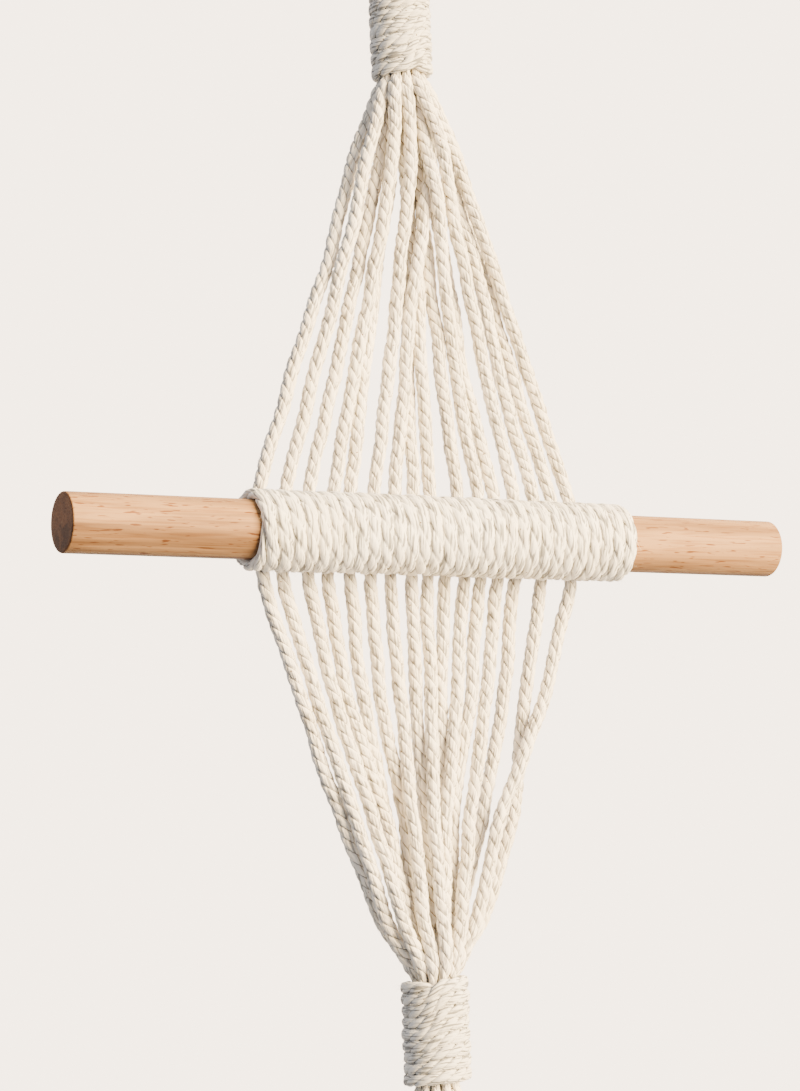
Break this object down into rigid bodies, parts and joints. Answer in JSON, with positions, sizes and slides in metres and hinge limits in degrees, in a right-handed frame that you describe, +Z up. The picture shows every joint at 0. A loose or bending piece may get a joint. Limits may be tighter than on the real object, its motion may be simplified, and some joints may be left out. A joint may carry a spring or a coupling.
{
  "type": "macrame wall hanging with wooden dowel",
  "caption": "Open diamond of plain cords gathered by wrapped knots above and below a bound wooden dowel, with a hanging loop and a short tassel.",
  "frame": {"origin": "the hanging point: inside top of the hanging loop, where a hook or nail bears, midway across the loop", "axes": "+X along the dowel to the viewer's right, +Z up, -Y out of the wall towards the viewer, +Y towards the wall; the cords lie in the plane y = 0 and the dowel just in front of it"},
  "size_m": [0.3, 0.0425, 0.5581],
  "materials": {
    "dowel_wood": "plain turned beech, sanded smooth",
    "cord_cotton": "natural cotton rope of three plies, matt and slightly hairy",
    "wrap_cotton": "whiter cotton rope of three plies, matt and slightly hairy"
  },
  "bodies": {
    "root": {"dowel": "dowel_wood", "strand_1": "cord_cotton", "strand_2": "cord_cotton", "strand_3": "cord_cotton", "strand_4": "cord_cotton", "strand_5": "cord_cotton", "strand_6": "cord_cotton", "strand_7": "cord_cotton", "strand_8": "cord_cotton", "strand_9": "cord_cotton", "strand_10": "cord_cotton", "strand_11": "cord_cotton", "strand_12": "cord_cotton", "strand_13": "cord_cotton", "strand_14": "cord_cotton", "strand_15": "cord_cotton", "strand_16": "cord_cotton", "loop_1": "cord_cotton", "loop_2": "cord_cotton", "loop_3": "cord_cotton", "loop_4": "cord_cotton", "loop_5": "cord_cotton", "loop_6": "cord_cotton", "loop_7": "cord_cotton", "loop_8": "cord_cotton", "upper_wrap": "wrap_cotton", "dowel_wrap": "wrap_cotton", "lower_wrap": "wrap_cotton"}
  },
  "joints": []
}
